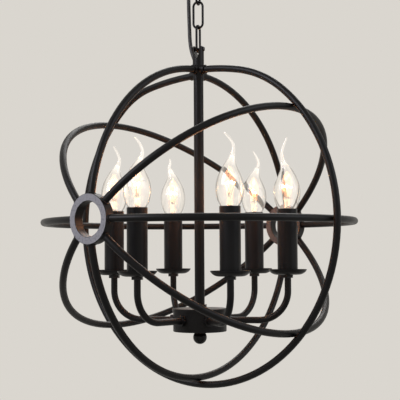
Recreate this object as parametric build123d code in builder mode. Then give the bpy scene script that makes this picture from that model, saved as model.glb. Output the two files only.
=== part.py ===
from build123d import *
import math
import os

os.makedirs("parts", exist_ok=True)

# Orb chandelier: a ball-shaped cage of bent iron bars round six candle lights, hung by a short
# chain from a ceiling cup. Millimetres, +Z up. The origin is the centre of the ceiling face: the
# top of the crossbar and the rim of the cup. The two collars of the cage lie on the Y axis.

# ---------------------------------------------------------------- driving dimensions
# Cage
cage_radius = 202.0        # centreline of the rings that end at the collars
bar_d = 9.0                # round iron bar of every ring
cross_gap = 0.1            # play where two bars cross or butt
ring_tilt = 43.5           # slant of the two tilted rings about the collar axis, degrees
collar_od = 60.0
collar_id = 42.0
collar_depth = 13.0
weld_gap = 0.05            # between a bar's coped end and its collar
edge_break = 0.5           # broken edge of turned pieces

# Clevis hub on top of the rod, where the cage's upright bars end
hub_d = 15.0
socket_step = 7.0          # the two bars at the back end this much lower than the two at the front
hub_below = 13.2           # these four are measured from the height of the front sockets
hub_above = 31.4
slot_floor_above = 15.0
slot_shoulder_above = 26.0  # above this the slot has its full width
pin_above = 27.7
socket_wall = 1.2
socket_reach = 12.2        # how far the sockets stand out from the hub's axis
bar_stop = 7.5             # where the bar ends, from the hub's axis
slot_w = 8.2               # slot between the two ears
slot_floor_w = 2.4
pin_d = 4.0
pin_head_d = 6.0
pin_head_t = 0.9
cord_hole_d = 6.4

# Rod and hub drum
rod_d = 13.0
rod_bore = 9.0
rod_socket = 10.5          # depth of the rod in the hub
rod_end_d = 10.0           # threaded lower end
rod_end_l = 7.0
rod_fit = 0.1              # on the diameter
drum_d = 70.0
drum_h = 30.0
drum_top = -112.4          # above the centre of the cage
drum_wall = 1.5
lid_d = 72.0
lid_h = 4.0
lid_t = 1.2
finial_d = 18.0
finial_neck_d = 13.0
finial_neck_h = 1.5
rod_nut_af = 17.0
rod_nut_h = 5.0

# Arms and candles
arm_count = 6
arm_phase = -92.3          # direction of the first arm, degrees
arm_d = 8.6
arm_bore = 5.6
arm_circle = 116.0         # radius of the circle that the candles stand on
arm_bend = 38.0            # centreline radius of the bend
arm_inner = 26.5           # the arm's end inside the drum, from the axis
arm_fit = 0.2              # on the diameter
nut_af = 13.0
nut_h = 4.0
dish_d = 49.0
dish_floor_d = 29.0
dish_t = 1.0
dish_rise = 6.0
sleeve_d = 26.0
sleeve_wall = 1.0
sleeve_h = 84.0
sleeve_top = 16.2          # above the centre of the cage
holder_d = 21.0
holder_neck_d = 15.0
holder_drop = 10.5         # the holder's mouth below the sleeve's top
holder_base_t = 5.0
arm_in_holder = 9.0
bulb_play = 0.4            # round the cap and under its contact

# Bulbs, on their own axis from the sleeve's top
bulb_d = 35.0
bulb_belly = 21.0          # height of the widest place
bulb_neck_d = 13.2
bulb_shoulder = 60.0       # where the round body ends and the drawn tip begins
glass_t = 0.8
cap_d = 13.6
cap_top = -11.0
cap_l = 21.0
contact_d = 8.0
contact_l = 3.2

# The tips are drawn by hand, so each has its own height, lean and direction
tip_tops = (87.0, 90.0, 93.0, 86.0, 78.0, 87.0)
tip_backs = (6.8, 4.8, 6.4, 7.0, 5.4, 7.2)          # first it leans back this far
tip_reaches = (2.2, 6.4, 0.6, 0.6, -4.4, 0.6)       # and then it reaches forward
tip_turns = (217.0, 214.0, 37.0, 222.0, 50.0, 218.0)  # in this direction, degrees

# Wiring
lead_d = 2.8
inner_lead_d = 6.0
connector_size = (8.0, 12.0, 5.0)

# Chain
link_l = 38.3
link_w = 16.0
link_wire = 3.0
link_count = 3
hang_gap = 0.3             # where one wire rests on the next
chain_turn = 19.0          # turn of the chain, its loop and the clevis about the vertical, degrees

# Ceiling fitting
cup_d = 120.0
cup_h = 28.0
cup_wall = 1.2
cup_round = 7.0
stud_d = 10.0
stud_fit = 0.2
loop_wire = 4.0
loop_inner_r = 7.0
loop_neck = 6.0
shoulder_d = 16.0
shoulder_h = 3.0
bar_l = 104.0
bar_w = 22.0
bar_t = 2.0
slot_length = 16.0         # screw slots of the crossbar, over all
slot_width = 5.0
slot_pitch = 66.0
screw_d = 4.0
screw_pitch = 92.0
screw_fit = 0.3
cap_nut_d = 9.0
cap_nut_h = 8.0
loop_nut_af = 17.0
loop_nut_h = 6.0
block_size = (12.0, 16.0, 11.0)
gland_d = 12.0
gland_h = 8.0
gland_flange_d = 16.0
gland_flange_h = 2.5

# Supply cord: its centreline points (x, height above the clevis pin), from the ceiling cup down
cord_d = 5.0
cord_fit = 0.5             # on the diameter, in the gland
cord_x = -16.6
cord_points = (
    (-16.6, 129.3),
    (-16.6, 104.3),
    (-16.3, 79.3),
    (-15.9, 55.3),
    (-15.0, 32.3),
    (-14.3, 11.8),
    (-10.8, -5.2),
    (-3.1, -20.7),
)

# ---------------------------------------------------------------- places worked out from them
loop_pitch_r = loop_inner_r + loop_wire / 2
loop_centre = -cup_h - shoulder_h - loop_neck - loop_pitch_r + loop_wire / 2
loop_bottom_wire = loop_centre - loop_pitch_r
link_pitch = link_l - 2 * link_wire - hang_gap
first_link_top = loop_centre - loop_inner_r + hang_gap + link_wire
link_tops = [first_link_top - i * link_pitch for i in range(link_count)]
last_link_floor = link_tops[-1] - link_l + link_wire
pin_z = last_link_floor + hang_gap + pin_d / 2
high_socket = cage_radius      # heights of the sockets and the hub are above the centre of the cage
low_socket = high_socket - socket_step
hub_base = high_socket - hub_below
hub_top = high_socket + hub_above
slot_floor = high_socket + slot_floor_above
slot_shoulder = high_socket + slot_shoulder_above
orb_z = pin_z - high_socket - pin_above

collar_r = collar_od / 2
collar_y = math.sqrt(cage_radius**2 - collar_r**2)
cope_r = collar_r + weld_gap
end_angle = math.degrees(math.asin(collar_r / cage_radius)) - 1.6   # bars start inside the cope
outer_radius = cage_radius + bar_d + cross_gap
socket_od = bar_d + 2 * cross_gap + 2 * socket_wall
drum_z = orb_z + drum_top
drum_floor = drum_z - drum_h
arm_z = drum_z - drum_h / 2
sleeve_top_z = orb_z + sleeve_top
dish_floor_z = sleeve_top_z - sleeve_h
rod_top = hub_base + rod_socket
rod_low = drum_floor - rod_end_l
arm_angles = [arm_phase + i * 360 / arm_count for i in range(arm_count)]
turn_sin = math.sin(math.radians(chain_turn))
turn_cos = math.cos(math.radians(chain_turn))
pin_dir = (turn_cos, turn_sin, 0)          # along the clevis pin and the bottom of the hanging loop
slot_dir = (-turn_sin, turn_cos, 0)        # along the clevis slot
slot_face = (turn_sin, -turn_cos, 0)


def save(piece, name):
    """Label a finished piece and write it to its file."""
    piece.part.label = name
    export_step(piece.part, f"parts/{name}.step")


def at_arm(angle, reach, height):
    """The point at this reach and height on the upright plane of an arm."""
    turn = math.radians(angle)
    return (reach * math.cos(turn), reach * math.sin(turn), height)


def outward(angle):
    """The level direction that points out along an arm."""
    return at_arm(angle, 1.0, 0.0)


def arm_plane(angle):
    """Upright plane of an arm: x runs outward, y up, and the origin is on the axis at z 0."""
    turn = math.radians(angle)
    return Plane(origin=(0, 0, 0), x_dir=outward(angle), z_dir=(math.sin(turn), -math.cos(turn), 0))


def ring_plane(slant):
    """Plane of a ring on the collar axis: x runs along +Y, y leans by slant from +X towards +Z."""
    lean = math.radians(slant)
    return Plane(origin=(0, 0, orb_z), x_dir=(0, 1, 0), z_dir=(math.sin(lean), 0, -math.cos(lean)))


def sweep_round(path, diameter, bore=0.0):
    """Sweep a round bar, or a tube with this bore, along the path just drawn."""
    with BuildSketch(Plane(path @ 0, z_dir=path % 0)) as section:
        Circle(diameter / 2)
        if bore > 0:
            Circle(bore / 2, mode=Mode.SUBTRACT)
    sweep(section.sketch, path=path)


def cope_to_collars():
    """Cut the ends of the ring in hand to the round of both collars."""
    with Locations((0, -collar_y, orb_z), (0, collar_y, orb_z)):
        Cylinder(cope_r, 2 * collar_depth, rotation=(90, 0, 0), mode=Mode.SUBTRACT)


def half_ring(slant):
    """One half of a ring, from collar to collar, on the side that slant points to."""
    with BuildLine(ring_plane(slant)) as path:
        CenterArc((0, 0), cage_radius, end_angle, 180 - 2 * end_angle)
    sweep_round(path.line, bar_d)


def quarter_arcs(height):
    """Drop of the top arc's centre and its radius, for a bar that ends in a socket at this height."""
    drop = (cage_radius - height) / (2 - math.sqrt(2))
    return drop, height + drop


def quarter_bar(height, side):
    """The bar from a collar, at side -1 or 1 along Y, up and over to its hub socket at height."""
    drop, over_r = quarter_arcs(height)
    over_end = math.degrees(math.acos(bar_stop / over_r))
    with BuildLine(ring_plane(90)) as path:
        if side > 0:
            CenterArc((drop, 0), cage_radius - drop, end_angle, 45 - end_angle)
            CenterArc((0, -drop), over_r, 45, over_end - 45)
        else:
            CenterArc((-drop, 0), cage_radius - drop, 180 - end_angle, end_angle - 45)
            CenterArc((0, -drop), over_r, 135, 45 - over_end)
    sweep_round(path.line, bar_d)


# ---------------------------------------------------------------- cage
with BuildPart() as level_ring:
    half_ring(0)
    half_ring(180)
    cope_to_collars()
save(level_ring, "level_ring")

with BuildPart() as rising_ring:
    half_ring(ring_tilt)
    half_ring(180 + ring_tilt)
    cope_to_collars()
save(rising_ring, "rising_ring")

with BuildPart() as falling_ring:
    half_ring(-ring_tilt)
    half_ring(180 - ring_tilt)
    cope_to_collars()
save(falling_ring, "falling_ring")

with BuildPart() as upright_ring:
    half_ring(-90)
    quarter_bar(high_socket, -1)
    quarter_bar(low_socket, 1)
    cope_to_collars()
save(upright_ring, "upright_ring")

# The outer ring is one bar that passes outside the other rings. It leaves its circle above the
# crossings with the tilted rings, turns over a tighter shoulder and runs flat to its two sockets.
shoulder_from = 50.0       # where the shoulder begins, degrees above level
shoulder_to = 78.0         # where the flat top arc begins


def outer_top(height):
    """Shoulder shift, shoulder radius, top arc centre and top arc radius for a socket at this height."""
    low = math.radians(shoulder_from)
    high = math.radians(shoulder_to)
    ratio = math.cos(low) / math.cos(high)
    shift = (outer_radius - height) / (1 - math.sin(low) + ratio * (math.sin(high) - 1))
    shoulder_r = outer_radius - shift
    top_r = shoulder_r + ratio * shift
    return shift, shoulder_r, height - top_r, top_r


with BuildPart() as outer_ring:
    low = math.radians(shoulder_from)
    with BuildLine(Plane(origin=(0, 0, orb_z), x_dir=(1, 0, 0), z_dir=(0, -1, 0))) as path:
        shift, shoulder_r, top_centre, top_r = outer_top(high_socket)
        top_end = math.degrees(math.acos(bar_stop / top_r))
        CenterArc((0, top_centre), top_r, top_end, shoulder_to - top_end)
        shoulder_centre = (shift * math.cos(low), shift * math.sin(low))
        CenterArc(shoulder_centre, shoulder_r, shoulder_to, shoulder_from - shoulder_to)
        CenterArc((0, 0), outer_radius, shoulder_from, -180 - 2 * shoulder_from)
        shift, shoulder_r, top_centre, top_r = outer_top(low_socket)
        top_end = math.degrees(math.acos(bar_stop / top_r))
        shoulder_centre = (-shift * math.cos(low), shift * math.sin(low))
        CenterArc(shoulder_centre, shoulder_r, 180 - shoulder_from, shoulder_from - shoulder_to)
        CenterArc((0, top_centre), top_r, 180 - shoulder_to, shoulder_to - top_end)
    sweep_round(path.line, bar_d)
save(outer_ring, "outer_ring")

for name, side in (("front_collar", -1), ("rear_collar", 1)):
    with BuildPart() as collar:
        with BuildSketch(Plane.XZ.offset(-side * collar_y - collar_depth / 2)):
            with Locations((0, orb_z)):
                Circle(collar_od / 2)
                Circle(collar_id / 2, mode=Mode.SUBTRACT)
        extrude(amount=collar_depth)
        chamfer(collar.edges().filter_by(GeomType.CIRCLE), edge_break)
    save(collar, name)

# ---------------------------------------------------------------- clevis hub, pin and rod
socket_mid = (bar_stop + socket_reach) / 2
sockets = (
    (0, high_socket, outer_top(high_socket)[3]),
    (180, low_socket, outer_top(low_socket)[3]),
    (-90, high_socket, quarter_arcs(high_socket)[1]),
    (90, low_socket, quarter_arcs(low_socket)[1]),
)


def socket_plane(direction, height, bar_r):
    """Plane across the middle of a socket, square to the bar that ends there on an arc of bar_r."""
    slope = math.asin(socket_mid / bar_r)
    middle = orb_z + height - bar_r * (1 - math.cos(slope))
    out = outward(direction)
    along = (out[0] * math.cos(slope), out[1] * math.cos(slope), -math.sin(slope))
    return Plane(origin=at_arm(direction, socket_mid, middle), z_dir=along)



with BuildPart() as clevis_hub:
    with BuildSketch(Plane.XY.offset(orb_z + hub_base)):
        Circle(hub_d / 2)
    extrude(amount=hub_top - hub_base)
    chamfer(clevis_hub.edges().group_by(Axis.Z)[-1], 1.0)
    for direction, height, bar_r in sockets:
        with BuildSketch(socket_plane(direction, height, bar_r).offset(-socket_mid)):
            Circle(socket_od / 2)
        extrude(amount=socket_reach)
    # bores of the sockets, of the rod and of the cord's way down
    for direction, height, bar_r in sockets:
        inner_end = socket_plane(direction, height, bar_r).offset(bar_stop - cross_gap - socket_mid)
        with BuildSketch(inner_end):
            Circle(bar_d / 2 + cross_gap)
        extrude(amount=socket_reach, mode=Mode.SUBTRACT)
    with BuildSketch(Plane.XY.offset(orb_z + hub_base - 2)):
        Circle((rod_d + rod_fit) / 2)
    extrude(amount=rod_socket + 2, mode=Mode.SUBTRACT)
    with BuildSketch(Plane.XY.offset(orb_z + hub_base)):
        Circle(inner_lead_d / 2 + 0.3)
    extrude(amount=slot_floor - 1 - hub_base, mode=Mode.SUBTRACT)
    # the slot: full width round the pin, a V below the link
    with BuildSketch(Plane(origin=(0, 0, orb_z), x_dir=pin_dir, z_dir=slot_face)):
        with BuildLine():
            Polyline(
                (-slot_floor_w / 2, slot_floor),
                (slot_floor_w / 2, slot_floor),
                (slot_w / 2, slot_shoulder),
                (slot_w / 2, hub_top + 5),
                (-slot_w / 2, hub_top + 5),
                (-slot_w / 2, slot_shoulder),
                close=True,
            )
        make_face()
    extrude(amount=hub_d, both=True, mode=Mode.SUBTRACT)
    with BuildSketch(Plane(origin=(0, 0, pin_z), z_dir=pin_dir)):
        Circle(pin_d / 2 + weld_gap)
    extrude(amount=hub_d, both=True, mode=Mode.SUBTRACT)
    # slanting way in for the cord, along its last run
    cord_in = Vector(cord_points[-2][0], 0, cord_points[-2][1])
    cord_end = Vector(cord_points[-1][0], 0, cord_points[-1][1])
    cord_run = (cord_end - cord_in).normalized()
    hole_from = cord_in - cord_run * 14 + Vector(0, 0, pin_z)
    with BuildSketch(Plane(origin=hole_from, z_dir=cord_run)):
        Circle(cord_hole_d / 2)
    extrude(amount=14 + (cord_end - cord_in).length + 1.5, mode=Mode.SUBTRACT)
save(clevis_hub, "clevis_hub")

with BuildPart() as clevis_pin:
    with BuildSketch(Plane(origin=(0, 0, pin_z), z_dir=pin_dir)):
        Circle(pin_d / 2)
    extrude(amount=hub_d / 2 + 0.2, both=True)
    for side in (-1, 1):
        foot = Vector(0, 0, pin_z) + Vector(*pin_dir) * (side * (hub_d / 2 + 0.05))
        with BuildSketch(Plane(origin=foot, z_dir=Vector(*pin_dir) * side)):
            Circle(pin_head_d / 2)
        extrude(amount=pin_head_t)
    chamfer(clevis_pin.edges().group_by(lambda e: abs(Vector(*pin_dir).dot(e.center() - Vector(0, 0, pin_z))))[-1], 0.4)
save(clevis_pin, "clevis_pin")

with BuildPart() as down_rod:
    with BuildSketch(Plane.XY.offset(drum_floor + drum_wall)):
        Circle(rod_d / 2)
    extrude(amount=orb_z + rod_top - drum_floor - drum_wall)
    with BuildSketch(Plane.XY.offset(rod_low)):
        Circle(rod_end_d / 2)
    extrude(amount=rod_end_l + drum_wall)
    with BuildSketch(Plane.XY.offset(drum_floor + drum_wall)):
        Circle(rod_bore / 2)
    extrude(amount=orb_z + rod_top - rod_low, mode=Mode.SUBTRACT)
    for angle in arm_angles[:2]:
        with BuildSketch(Plane(origin=(0, 0, arm_z + 6), z_dir=outward(angle))):
            Circle(2.6)
        extrude(amount=rod_d, mode=Mode.SUBTRACT)
save(down_rod, "down_rod")

# ---------------------------------------------------------------- hub drum
with BuildPart() as drum_shell:
    with BuildSketch(Plane.XY.offset(drum_floor)):
        Circle(drum_d / 2)
    extrude(amount=drum_h - lid_t)
    with BuildSketch(Plane.XY.offset(drum_floor + drum_wall)):
        Circle(drum_d / 2 - drum_wall)
    extrude(amount=drum_h, mode=Mode.SUBTRACT)
    fillet(drum_shell.edges().group_by(Axis.Z)[0].sort_by(SortBy.LENGTH)[-1], 1.0)
    with BuildSketch(Plane.XY.offset(drum_floor)):
        Circle((rod_end_d + rod_fit) / 2)
    extrude(amount=drum_wall, mode=Mode.SUBTRACT)
    for angle in arm_angles:
        with BuildSketch(Plane(origin=at_arm(angle, 0, arm_z), z_dir=outward(angle))):
            Circle((arm_d + arm_fit) / 2)
        extrude(amount=drum_d, mode=Mode.SUBTRACT)
save(drum_shell, "drum_shell")

with BuildPart() as drum_lid:
    with BuildSketch(Plane.XY.offset(drum_z - lid_h)):
        Circle(lid_d / 2)
    extrude(amount=lid_h)
    with BuildSketch(Plane.XY.offset(drum_z - lid_h)):
        Circle(drum_d / 2 + cross_gap)
    extrude(amount=lid_h - lid_t, mode=Mode.SUBTRACT)
    fillet(drum_lid.edges().group_by(Axis.Z)[-1].sort_by(SortBy.LENGTH)[-1], 0.9)
    with BuildSketch(Plane.XY.offset(drum_z - lid_h)):
        Circle((rod_d + rod_fit) / 2)
    extrude(amount=lid_h, mode=Mode.SUBTRACT)
save(drum_lid, "drum_lid")

with BuildPart() as rod_nuts:
    for base in (drum_z - lid_t - rod_nut_h, drum_z, drum_floor + drum_wall):
        bore = rod_d + rod_fit
        with BuildSketch(Plane.XY.offset(base)):
            RegularPolygon(rod_nut_af / 2, 6, major_radius=False)
            Circle(bore / 2, mode=Mode.SUBTRACT)
        extrude(amount=rod_nut_h)
save(rod_nuts, "rod_nuts")

ball_centre = drum_floor - finial_neck_h - math.sqrt((finial_d / 2) ** 2 - (finial_neck_d / 2) ** 2)
with BuildPart() as finial:
    with Locations((0, 0, ball_centre)):
        Sphere(finial_d / 2)
    with BuildSketch(Plane.XY.offset(ball_centre)):
        Circle(finial_neck_d / 2)
    extrude(amount=drum_floor - ball_centre)
    with BuildSketch(Plane.XY.offset(rod_low - 0.5)):
        Circle((rod_end_d + rod_fit) / 2)
    extrude(amount=rod_end_l + finial_d / 2, mode=Mode.SUBTRACT)
save(finial, "finial")

# ---------------------------------------------------------------- arms, nuts, dishes, sleeves
for number, angle in enumerate(arm_angles, start=1):
    with BuildPart() as arm:
        with BuildLine(arm_plane(angle)) as path:
            Line((arm_inner, arm_z), (arm_circle - arm_bend, arm_z))
            CenterArc((arm_circle - arm_bend, arm_z + arm_bend), arm_bend, -90, 90)
            Line((arm_circle, arm_z + arm_bend), (arm_circle, dish_floor_z + arm_in_holder))
        sweep_round(path.line, arm_d, arm_bore)
    save(arm, f"arm_{number}")

    with BuildPart() as dish:
        with BuildSketch(arm_plane(angle)) as section:
            with BuildLine():
                inner = (arm_d + arm_fit) / 2
                flat = dish_floor_d / 2
                rim = dish_d / 2
                Line((arm_circle + inner, dish_floor_z - dish_t), (arm_circle + flat, dish_floor_z - dish_t))
                ThreePointArc(
                    (arm_circle + flat, dish_floor_z - dish_t),
                    (arm_circle + (flat + rim) / 2 + 1.2, dish_floor_z + dish_rise / 2 - dish_t - 1.0),
                    (arm_circle + rim, dish_floor_z + dish_rise - dish_t),
                )
                Line((arm_circle + rim, dish_floor_z + dish_rise - dish_t), (arm_circle + rim, dish_floor_z + dish_rise))
                Line((arm_circle + rim, dish_floor_z + dish_rise), (arm_circle + rim - 0.8, dish_floor_z + dish_rise))
                ThreePointArc(
                    (arm_circle + rim - 0.8, dish_floor_z + dish_rise),
                    (arm_circle + (flat + rim) / 2, dish_floor_z + dish_rise / 2 - 0.9),
                    (arm_circle + flat - 0.4, dish_floor_z),
                )
                Line((arm_circle + flat - 0.4, dish_floor_z), (arm_circle + inner, dish_floor_z))
                Line((arm_circle + inner, dish_floor_z), (arm_circle + inner, dish_floor_z - dish_t))
            make_face()
        revolve(axis=Axis(at_arm(angle, arm_circle, 0), (0, 0, 1)))
    save(dish, f"dish_{number}")

    with BuildPart() as sleeve:
        with BuildSketch(Plane(origin=at_arm(angle, arm_circle, dish_floor_z))):
            Circle(sleeve_d / 2)
            Circle(sleeve_d / 2 - sleeve_wall, mode=Mode.SUBTRACT)
        extrude(amount=sleeve_h)
        fillet(sleeve.edges().group_by(Axis.Z)[-1], sleeve_wall * 0.4)
    save(sleeve, f"sleeve_{number}")

with BuildPart() as arm_nuts:
    outer_face = math.sqrt((drum_d / 2) ** 2)
    inner_face = math.sqrt((drum_d / 2 - drum_wall) ** 2 - (nut_af / math.sqrt(3)) ** 2) - cross_gap
    for angle in arm_angles:
        for reach in (outer_face, inner_face - nut_h):
            with BuildSketch(Plane(origin=at_arm(angle, reach, arm_z), z_dir=outward(angle))):
                RegularPolygon(nut_af / 2, 6, major_radius=False)
                Circle((arm_d + arm_fit) / 2, mode=Mode.SUBTRACT)
            extrude(amount=nut_h)
        with BuildSketch(Plane(origin=at_arm(angle, arm_circle, dish_floor_z - dish_t - nut_h))):
            RegularPolygon(nut_af / 2, 6, major_radius=False)
            Circle((arm_d + arm_fit) / 2, mode=Mode.SUBTRACT)
        extrude(amount=nut_h)
save(arm_nuts, "arm_nuts")

holder_mouth = sleeve_top_z - holder_drop
holder_depth = cap_l + contact_l + bulb_play - cap_top - holder_drop
shell_r = cap_d / 2 + bulb_play
with BuildPart() as lamp_holders:
    for angle in arm_angles:
        with BuildSketch(Plane(origin=at_arm(angle, arm_circle, dish_floor_z))):
            Circle(holder_neck_d / 2)
        extrude(amount=holder_mouth - dish_floor_z)
        with BuildSketch(Plane(origin=at_arm(angle, arm_circle, holder_mouth - holder_depth - holder_base_t))):
            Circle(holder_d / 2)
        extrude(amount=holder_depth + holder_base_t)
        with BuildSketch(Plane(origin=at_arm(angle, arm_circle, holder_mouth - holder_depth))):
            Circle(shell_r)
        extrude(amount=holder_depth, mode=Mode.SUBTRACT)
        with BuildSketch(Plane(origin=at_arm(angle, arm_circle, dish_floor_z))):
            Circle((arm_d + arm_fit) / 2)
        extrude(amount=arm_in_holder + 0.3, mode=Mode.SUBTRACT)
        with BuildSketch(Plane(origin=at_arm(angle, arm_circle, dish_floor_z))):
            Circle(lead_d / 2 + 0.3)
        extrude(amount=holder_mouth - holder_depth - dish_floor_z - 6, mode=Mode.SUBTRACT)
save(lamp_holders, "lamp_holders")

# ---------------------------------------------------------------- wiring inside
lead_top = holder_mouth - holder_depth - 6.4
with BuildPart() as lead_wires:
    for angle in arm_angles:
        with BuildLine(arm_plane(angle)) as path:
            Line((arm_inner - 8, arm_z), (arm_circle - arm_bend, arm_z))
            CenterArc((arm_circle - arm_bend, arm_z + arm_bend), arm_bend, -90, 90)
            Line((arm_circle, arm_z + arm_bend), (arm_circle, lead_top))
        sweep_round(path.line, lead_d)
    with BuildSketch(Plane.XY.offset(arm_z + 3)):
        Circle(inner_lead_d / 2)
    extrude(amount=pin_z + cord_points[-1][1] - 3.2 - arm_z - 3)
save(lead_wires, "lead_wires")

with BuildPart() as wire_connectors:
    reach = arm_inner - 8 - connector_size[0] / 2
    for angle in arm_angles[::2]:
        with BuildSketch(Plane(origin=at_arm(angle, reach, arm_z - connector_size[2] / 2), x_dir=outward(angle), z_dir=(0, 0, 1))):
            RectangleRounded(connector_size[0], connector_size[1], 1.0)
        extrude(amount=connector_size[2])
save(wire_connectors, "wire_connectors")

# ---------------------------------------------------------------- bulbs
def glass_outline(inset):
    """Outline of the round glass body, closed on its axis and drawn this far inside its surface."""
    belly = bulb_d / 2
    with BuildLine() as outline:
        Spline(
            (bulb_neck_d / 2 - inset, cap_top + inset),
            (belly * 0.50 - inset, -5.0),
            (belly * 0.88 - inset, 8.0),
            (belly - inset, bulb_belly),
            (belly * 0.80 - inset, bulb_belly + 17.0),
            (belly * 0.38 - inset, bulb_shoulder - 8.0),
            (3.4 - inset, bulb_shoulder),
            tangents=((0.1, 1), (-0.22, 1)),
        )
        Line((3.4 - inset, bulb_shoulder), (0, bulb_shoulder + 1.2 - inset))
        Line((0, bulb_shoulder + 1.2 - inset), (0, cap_top + inset))
        Line((0, cap_top + inset), (bulb_neck_d / 2 - inset, cap_top + inset))
    make_face(outline.line)


for number, angle in enumerate(arm_angles, start=1):
    foot = Vector(*at_arm(angle, arm_circle, sleeve_top_z))
    tip_top, tip_back, tip_reach = tip_tops[number - 1], tip_backs[number - 1], tip_reaches[number - 1]
    tip_rise = tip_top - bulb_shoulder
    tip_out = outward(tip_turns[number - 1])
    curl = Plane(origin=foot, x_dir=tip_out, z_dir=Vector(*tip_out).cross(Vector(0, 0, 1)))
    with BuildPart() as bulb_glass:
        with BuildSketch(curl):
            glass_outline(0.0)
        revolve(axis=Axis(foot, (0, 0, 1)))
        with BuildSketch(curl):
            glass_outline(glass_t)
        revolve(axis=Axis(foot, (0, 0, 1)), mode=Mode.SUBTRACT)
        # the drawn tip leans back a little and then curls forward, as a candle flame in a draught
        tip_line = Spline(
            curl.from_local_coords((0, bulb_shoulder - 2.0)),
            curl.from_local_coords((-tip_back, bulb_shoulder + 0.3 * tip_rise)),
            curl.from_local_coords((-tip_back * 0.8, bulb_shoulder + 0.55 * tip_rise)),
            curl.from_local_coords((tip_reach, tip_top)),
            mode=Mode.PRIVATE,
        )
        for share, radius in ((0.0, 3.6), (0.3, 2.5), (0.6, 1.8), (0.85, 1.3), (1.0, 0.8)):
            with BuildSketch(Plane(tip_line @ share, z_dir=tip_line % share)):
                Circle(radius)
        loft()
    save(bulb_glass, f"bulb_glass_{number}")

    with BuildPart() as bulb_cap:
        with BuildSketch(Plane(origin=foot + Vector(0, 0, cap_top - cap_l))):
            Circle(cap_d / 2)
        extrude(amount=cap_l)
        chamfer(bulb_cap.edges().group_by(Axis.Z)[0], 1.6)
        with BuildSketch(Plane(origin=foot + Vector(0, 0, cap_top - cap_l - contact_l))):
            Circle(contact_d / 2)
        extrude(amount=contact_l)
    save(bulb_cap, f"bulb_cap_{number}")

# ---------------------------------------------------------------- chain
for number, top in enumerate(link_tops):
    straight = link_l - link_w
    centre = top - link_l / 2
    side = pin_dir if number % 2 else slot_dir      # each link stands square to the one above
    face = slot_face if number % 2 else pin_dir
    with BuildPart() as link:
        with BuildLine(Plane(origin=(0, 0, centre), x_dir=side, z_dir=face)) as path:
            bow = (link_w - link_wire) / 2
            Line((bow, -straight / 2), (bow, straight / 2))
            CenterArc((0, straight / 2), bow, 0, 180)
            Line((-bow, straight / 2), (-bow, -straight / 2))
            CenterArc((0, -straight / 2), bow, 180, 180)
        sweep_round(path.line, link_wire)
    save(link, ("chain_link_top", "chain_link_middle", "chain_link_bottom")[number])

# ---------------------------------------------------------------- ceiling fitting
with BuildPart() as hang_loop:
    with BuildSketch(Plane.XY.offset(-cup_h)):
        Circle(stud_d / 2)
    extrude(amount=cup_h)
    with BuildSketch(Plane.XY.offset(-cup_h - shoulder_h)):
        Circle(shoulder_d / 2)
    extrude(amount=shoulder_h)
    chamfer(hang_loop.edges().group_by(Axis.Z)[0], 0.8)
    with BuildSketch(Plane.XY.offset(-cup_h - shoulder_h - loop_neck)):
        Circle(loop_wire * 0.8)
    extrude(amount=loop_neck)
    loop_side = Vector(*pin_dir) * loop_pitch_r + Vector(0, 0, loop_centre)
    with BuildSketch(Plane(origin=loop_side, z_dir=(0, 0, 1))):
        Circle(loop_wire / 2)
    revolve(axis=Axis((0, 0, loop_centre), slot_dir))
save(hang_loop, "hang_loop")

with BuildPart() as loop_nut:
    with BuildSketch(Plane.XY.offset(-bar_t - loop_nut_h)):
        RegularPolygon(loop_nut_af / 2, 6, major_radius=False)
        Circle((stud_d + stud_fit) / 2, mode=Mode.SUBTRACT)
    extrude(amount=loop_nut_h)
save(loop_nut, "loop_nut")

with BuildPart() as crossbar:
    with BuildSketch(Plane.XY.offset(-bar_t)):
        RectangleRounded(bar_l, bar_w, 4.0)
        Circle((stud_d + stud_fit) / 2, mode=Mode.SUBTRACT)
        with Locations((-slot_pitch / 2, 0), (slot_pitch / 2, 0)):
            SlotOverall(slot_length, slot_width, mode=Mode.SUBTRACT)
        with Locations((-screw_pitch / 2, 0), (screw_pitch / 2, 0)):
            Circle((screw_d + screw_fit) / 2, mode=Mode.SUBTRACT)
    extrude(amount=bar_t)
save(crossbar, "crossbar")

with BuildPart() as canopy_screws:
    for x in (-screw_pitch / 2, screw_pitch / 2):
        with BuildSketch(Plane(origin=(x, 0, -cup_h - cap_nut_h * 0.6))):
            Circle(screw_d / 2)
        extrude(amount=cup_h + cap_nut_h * 0.6)
save(canopy_screws, "canopy_screws")

with BuildPart() as cap_nuts:
    for x in (-screw_pitch / 2, screw_pitch / 2):
        with BuildSketch(Plane(origin=(x, 0, -cup_h - cap_nut_h))):
            Circle(cap_nut_d / 2)
        extrude(amount=cap_nut_h)
    fillet(cap_nuts.edges().group_by(Axis.Z)[0], 3.5)
    for x in (-screw_pitch / 2, screw_pitch / 2):
        with BuildSketch(Plane(origin=(x, 0, -cup_h - cap_nut_h * 0.65))):
            Circle((screw_d + rod_fit) / 2)
        extrude(amount=cap_nut_h, mode=Mode.SUBTRACT)
save(cap_nuts, "cap_nuts")

with BuildPart() as canopy_cup:
    with BuildSketch(Plane.XY.offset(-cup_h)):
        Circle(cup_d / 2)
    extrude(amount=cup_h)
    fillet(canopy_cup.edges().group_by(Axis.Z)[0], cup_round)
    offset(amount=-cup_wall, openings=canopy_cup.faces().sort_by(Axis.Z)[-1])
    with BuildSketch(Plane.XY.offset(-cup_h - 1)):
        Circle((stud_d + stud_fit) / 2)
        with Locations((-screw_pitch / 2, 0), (screw_pitch / 2, 0)):
            Circle((screw_d + screw_fit) / 2)
        with Locations((cord_x, 0)):
            Circle(gland_d / 2 + cross_gap)
    extrude(amount=cup_h / 2, mode=Mode.SUBTRACT)
save(canopy_cup, "canopy_cup")

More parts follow.
